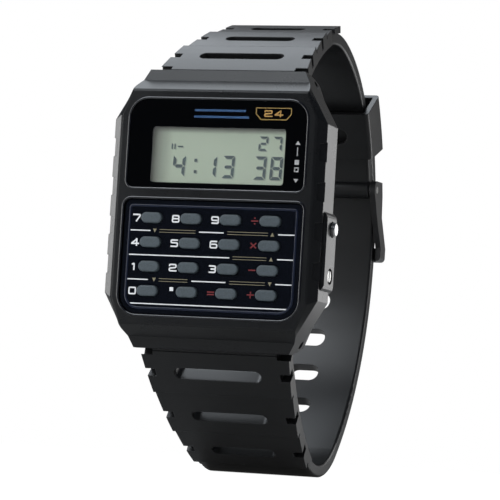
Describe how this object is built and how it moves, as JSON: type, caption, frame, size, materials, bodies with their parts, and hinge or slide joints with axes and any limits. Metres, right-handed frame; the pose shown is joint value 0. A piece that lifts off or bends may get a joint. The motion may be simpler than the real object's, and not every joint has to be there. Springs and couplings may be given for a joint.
{
  "type": "calculator watch",
  "caption": "Rectangular resin calculator watch with an upper display, a keypad of small buttons and a resin strap fastened in a loop by a pin buckle.",
  "frame": {"origin": "centre of the case back's outer face", "axes": "+Y out of the case back towards the wrist, the dial faces -Y, +Z towards 12 o'clock and +X towards 3 o'clock"},
  "size_m": [0.0355, 0.0607, 0.0732],
  "materials": {
    "case_resin": "fine matte charcoal resin",
    "strap_resin": "matte black resin strap",
    "window_glass": "polished clear window",
    "mask_print": "black print behind the window",
    "keypad_black": "glossy black plate with white lines",
    "key_rubber": "satin grey-blue rubber",
    "membrane_rubber": "matte grey rubber",
    "lcd_glass": "grey-green display",
    "zebra_rubber": "striped rubber",
    "board_green": "green solder resist",
    "chip_black": "black epoxy",
    "frame_natural": "natural plastic",
    "battery_steel": "nickel-plated can",
    "spring_steel": "bright spring steel",
    "brass_plate": "brass plate",
    "back_steel": "brushed stainless steel",
    "gasket_rubber": "black gasket rubber",
    "pusher_steel": "satin stainless steel",
    "buckle_black": "black coated metal"
  },
  "bodies": {
    "watch": {"case_body": "case_resin", "display_glass": "window_glass", "display_mask": "mask_print", "keypad_panel": "keypad_black", "keypad_membrane": "membrane_rubber", "lcd_panel": "lcd_glass", "lcd_connectors": "zebra_rubber", "circuit_board": "board_green", "driver_chip": "chip_black", "crystal_can": "battery_steel", "sounder_coil": "brass_plate", "chip_capacitors": "frame_natural", "module_frame": "frame_natural", "battery": "battery_steel", "battery_clip": "spring_steel", "battery_spring": "spring_steel", "switch_springs": "spring_steel", "sounder_spring": "spring_steel", "piezo_disc": "brass_plate", "case_back": "back_steel", "case_gasket": "gasket_rubber", "case_screws": "back_steel", "pusher_seals": "gasket_rubber", "spring_bar_12": "spring_steel", "spring_bar_6": "spring_steel"},
    "key_0": {"key_0": "key_rubber"},
    "key_1": {"key_1": "key_rubber"},
    "key_2": {"key_2": "key_rubber"},
    "key_3": {"key_3": "key_rubber"},
    "key_4": {"key_4": "key_rubber"},
    "key_5": {"key_5": "key_rubber"},
    "key_6": {"key_6": "key_rubber"},
    "key_7": {"key_7": "key_rubber"},
    "key_8": {"key_8": "key_rubber"},
    "key_9": {"key_9": "key_rubber"},
    "key_point": {"key_point": "key_rubber"},
    "key_equals": {"key_equals": "key_rubber"},
    "key_plus": {"key_plus": "key_rubber"},
    "key_minus": {"key_minus": "key_rubber"},
    "key_times": {"key_times": "key_rubber"},
    "key_divide": {"key_divide": "key_rubber"},
    "mode_pusher": {"mode_pusher": "pusher_steel", "mode_pusher_clip": "spring_steel"},
    "adjust_pusher": {"adjust_pusher": "pusher_steel", "adjust_pusher_clip": "spring_steel"},
    "upper_strap": {"strap_12": "strap_resin", "buckle_bar": "spring_steel"},
    "lower_strap": {"strap_6": "strap_resin"},
    "keeper": {"keeper": "strap_resin"},
    "buckle_frame": {"buckle_frame": "buckle_black"},
    "buckle_prong": {"buckle_prong": "buckle_black"}
  },
  "joints": [
    {"name": "key_0_press", "type": "slide", "parent": "watch", "child": "key_0", "axis": [0, 1, 0], "range_m": [0, 0.00035], "stiffness_N_per_m": 3000, "springref_m": -0.0001},
    {"name": "key_1_press", "type": "slide", "parent": "watch", "child": "key_1", "axis": [0, 1, 0], "range_m": [0, 0.00035], "stiffness_N_per_m": 3000, "springref_m": -0.0001},
    {"name": "key_2_press", "type": "slide", "parent": "watch", "child": "key_2", "axis": [0, 1, 0], "range_m": [0, 0.00035], "stiffness_N_per_m": 3000, "springref_m": -0.0001},
    {"name": "key_3_press", "type": "slide", "parent": "watch", "child": "key_3", "axis": [0, 1, 0], "range_m": [0, 0.00035], "stiffness_N_per_m": 3000, "springref_m": -0.0001},
    {"name": "key_4_press", "type": "slide", "parent": "watch", "child": "key_4", "axis": [0, 1, 0], "range_m": [0, 0.00035], "stiffness_N_per_m": 3000, "springref_m": -0.0001},
    {"name": "key_5_press", "type": "slide", "parent": "watch", "child": "key_5", "axis": [0, 1, 0], "range_m": [0, 0.00035], "stiffness_N_per_m": 3000, "springref_m": -0.0001},
    {"name": "key_6_press", "type": "slide", "parent": "watch", "child": "key_6", "axis": [0, 1, 0], "range_m": [0, 0.00035], "stiffness_N_per_m": 3000, "springref_m": -0.0001},
    {"name": "key_7_press", "type": "slide", "parent": "watch", "child": "key_7", "axis": [0, 1, 0], "range_m": [0, 0.00035], "stiffness_N_per_m": 3000, "springref_m": -0.0001},
    {"name": "key_8_press", "type": "slide", "parent": "watch", "child": "key_8", "axis": [0, 1, 0], "range_m": [0, 0.00035], "stiffness_N_per_m": 3000, "springref_m": -0.0001},
    {"name": "key_9_press", "type": "slide", "parent": "watch", "child": "key_9", "axis": [0, 1, 0], "range_m": [0, 0.00035], "stiffness_N_per_m": 3000, "springref_m": -0.0001},
    {"name": "key_point_press", "type": "slide", "parent": "watch", "child": "key_point", "axis": [0, 1, 0], "range_m": [0, 0.00035], "stiffness_N_per_m": 3000, "springref_m": -0.0001},
    {"name": "key_equals_press", "type": "slide", "parent": "watch", "child": "key_equals", "axis": [0, 1, 0], "range_m": [0, 0.00035], "stiffness_N_per_m": 3000, "springref_m": -0.0001},
    {"name": "key_plus_press", "type": "slide", "parent": "watch", "child": "key_plus", "axis": [0, 1, 0], "range_m": [0, 0.00035], "stiffness_N_per_m": 3000, "springref_m": -0.0001},
    {"name": "key_minus_press", "type": "slide", "parent": "watch", "child": "key_minus", "axis": [0, 1, 0], "range_m": [0, 0.00035], "stiffness_N_per_m": 3000, "springref_m": -0.0001},
    {"name": "key_times_press", "type": "slide", "parent": "watch", "child": "key_times", "axis": [0, 1, 0], "range_m": [0, 0.00035], "stiffness_N_per_m": 3000, "springref_m": -0.0001},
    {"name": "key_divide_press", "type": "slide", "parent": "watch", "child": "key_divide", "axis": [0, 1, 0], "range_m": [0, 0.00035], "stiffness_N_per_m": 3000, "springref_m": -0.0001},
    {"name": "mode_pusher_press", "type": "slide", "parent": "watch", "child": "mode_pusher", "axis": [-1, 0, 0], "range_m": [0, 0.0006], "stiffness_N_per_m": 2500, "springref_m": -0.0002},
    {"name": "adjust_pusher_press", "type": "slide", "parent": "watch", "child": "adjust_pusher", "axis": [-1, 0, 0], "range_m": [0, 0.0004], "stiffness_N_per_m": 2500, "springref_m": -0.0002},
    {"name": "upper_strap_pivot", "type": "hinge", "parent": "watch", "child": "upper_strap", "pos_m": [0, -0.00205, 0.02], "axis": [1, 0, 0], "range_deg": [-0.25, 0.25]},
    {"name": "lower_strap_pivot", "type": "hinge", "parent": "watch", "child": "lower_strap", "pos_m": [0, -0.00205, -0.02], "axis": [1, 0, 0], "range_deg": [-0.25, 0.25]},
    {"name": "keeper_slide", "type": "hinge", "parent": "upper_strap", "child": "keeper", "pos_m": [0, 0.00289, -0.00158], "axis": [1, 0, 0], "range_deg": [-4.3, 4.3]},
    {"name": "buckle_swing", "type": "hinge", "parent": "upper_strap", "child": "buckle_frame", "pos_m": [0, 0.04439, 0.00885], "axis": [1, 0, 0], "range_deg": [0, 0.8]},
    {"name": "prong_swing", "type": "hinge", "parent": "buckle_frame", "child": "buckle_prong", "pos_m": [0, 0.04439, 0.00885], "axis": [1, 0, 0], "range_deg": [0, 0.6]}
  ],
  "couplings": [
    {"joint": "lower_strap_pivot", "follows": "upper_strap_pivot", "ratio": 1}
  ]
}
